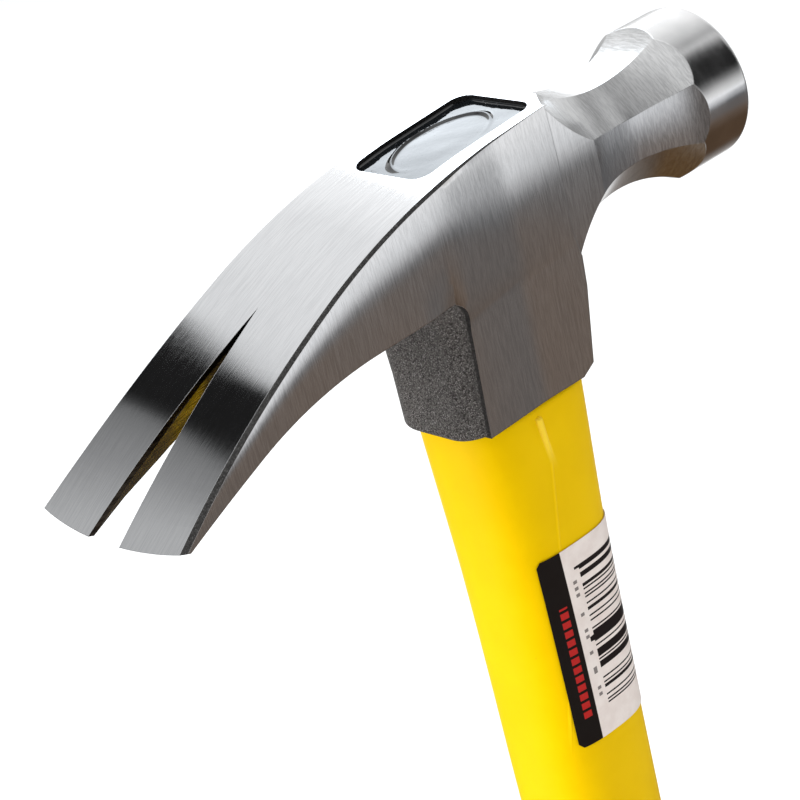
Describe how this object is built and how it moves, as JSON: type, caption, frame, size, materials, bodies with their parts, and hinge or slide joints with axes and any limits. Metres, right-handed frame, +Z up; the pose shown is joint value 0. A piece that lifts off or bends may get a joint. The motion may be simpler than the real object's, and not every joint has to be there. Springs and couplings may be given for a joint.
{
  "type": "rip claw hammer",
  "caption": "Carpenter's rip claw hammer with a forged steel head, octagonal neck, nearly straight split claw and a straight moulded handle with a rubber grip.",
  "frame": {"origin": "centre of the flat end of the butt, on the handle's axis", "axes": "+Z up the handle to the head, +X out of the striking face, the claw reaches towards -X, and the cheeks face +Y and -Y"},
  "size_m": [0.1336, 0.0328, 0.3301],
  "materials": {
    "forged_steel": "ground and polished, rough as forged under the claw",
    "fiberglass": "drawn glass fibre in resin",
    "yellow_jacket": "smooth moulded, satin gloss",
    "black_epoxy": "glossy poured resin",
    "black_rubber": "fine matte",
    "label_stock": "semi-gloss film with black printed bars"
  },
  "bodies": {
    "root": {"hammer_head": "forged_steel", "fiberglass_core": "fiberglass", "handle_jacket": "yellow_jacket", "epoxy_bond": "black_epoxy", "grip_sleeve": "black_rubber", "barcode_label": "label_stock"}
  },
  "joints": []
}
